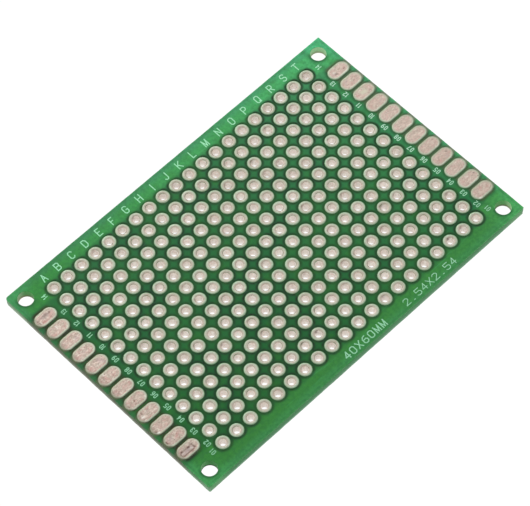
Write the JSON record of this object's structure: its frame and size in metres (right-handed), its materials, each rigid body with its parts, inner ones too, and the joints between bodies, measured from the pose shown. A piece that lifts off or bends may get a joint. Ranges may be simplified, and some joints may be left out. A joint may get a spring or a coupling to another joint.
{
  "type": "prototype board",
  "caption": "Green double-sided prototyping board with a lettered and numbered grid of tinned plated-through holes, bare soldering pads along both short ends and a mounting hole in each corner.",
  "frame": {"origin": "middle of the board's underside, at the height of the back pads, the lowest points", "axes": "+X along the 60 mm side from column A to column T, +Y across the 40 mm side from row 01 to the lettered edge by row 14, +Z out of the printed front face"},
  "size_m": [0.06, 0.04, 0.0016],
  "materials": {
    "laminate": "matte",
    "solder_mask": "satin",
    "tinned_copper": "satin",
    "legend_ink": "matte"
  },
  "bodies": {
    "root": {"rigid_laminate": "laminate", "solder_mask_front": "solder_mask", "solder_mask_back": "solder_mask", "plated_holes_col_A": "tinned_copper", "plated_holes_col_B": "tinned_copper", "plated_holes_col_C": "tinned_copper", "plated_holes_col_D": "tinned_copper", "plated_holes_col_E": "tinned_copper", "plated_holes_col_F": "tinned_copper", "plated_holes_col_G": "tinned_copper", "plated_holes_col_H": "tinned_copper", "plated_holes_col_I": "tinned_copper", "plated_holes_col_J": "tinned_copper", "plated_holes_col_K": "tinned_copper", "plated_holes_col_L": "tinned_copper", "plated_holes_col_M": "tinned_copper", "plated_holes_col_N": "tinned_copper", "plated_holes_col_O": "tinned_copper", "plated_holes_col_P": "tinned_copper", "plated_holes_col_Q": "tinned_copper", "plated_holes_col_R": "tinned_copper", "plated_holes_col_S": "tinned_copper", "plated_holes_col_T": "tinned_copper", "edge_pads_front_left": "tinned_copper", "edge_pads_front_right": "tinned_copper", "edge_pads_back_left": "tinned_copper", "edge_pads_back_right": "tinned_copper", "legend_letters": "legend_ink", "legend_numbers_left": "legend_ink", "legend_numbers_right": "legend_ink", "legend_board_size": "legend_ink", "legend_pitch": "legend_ink"}
  },
  "joints": []
}
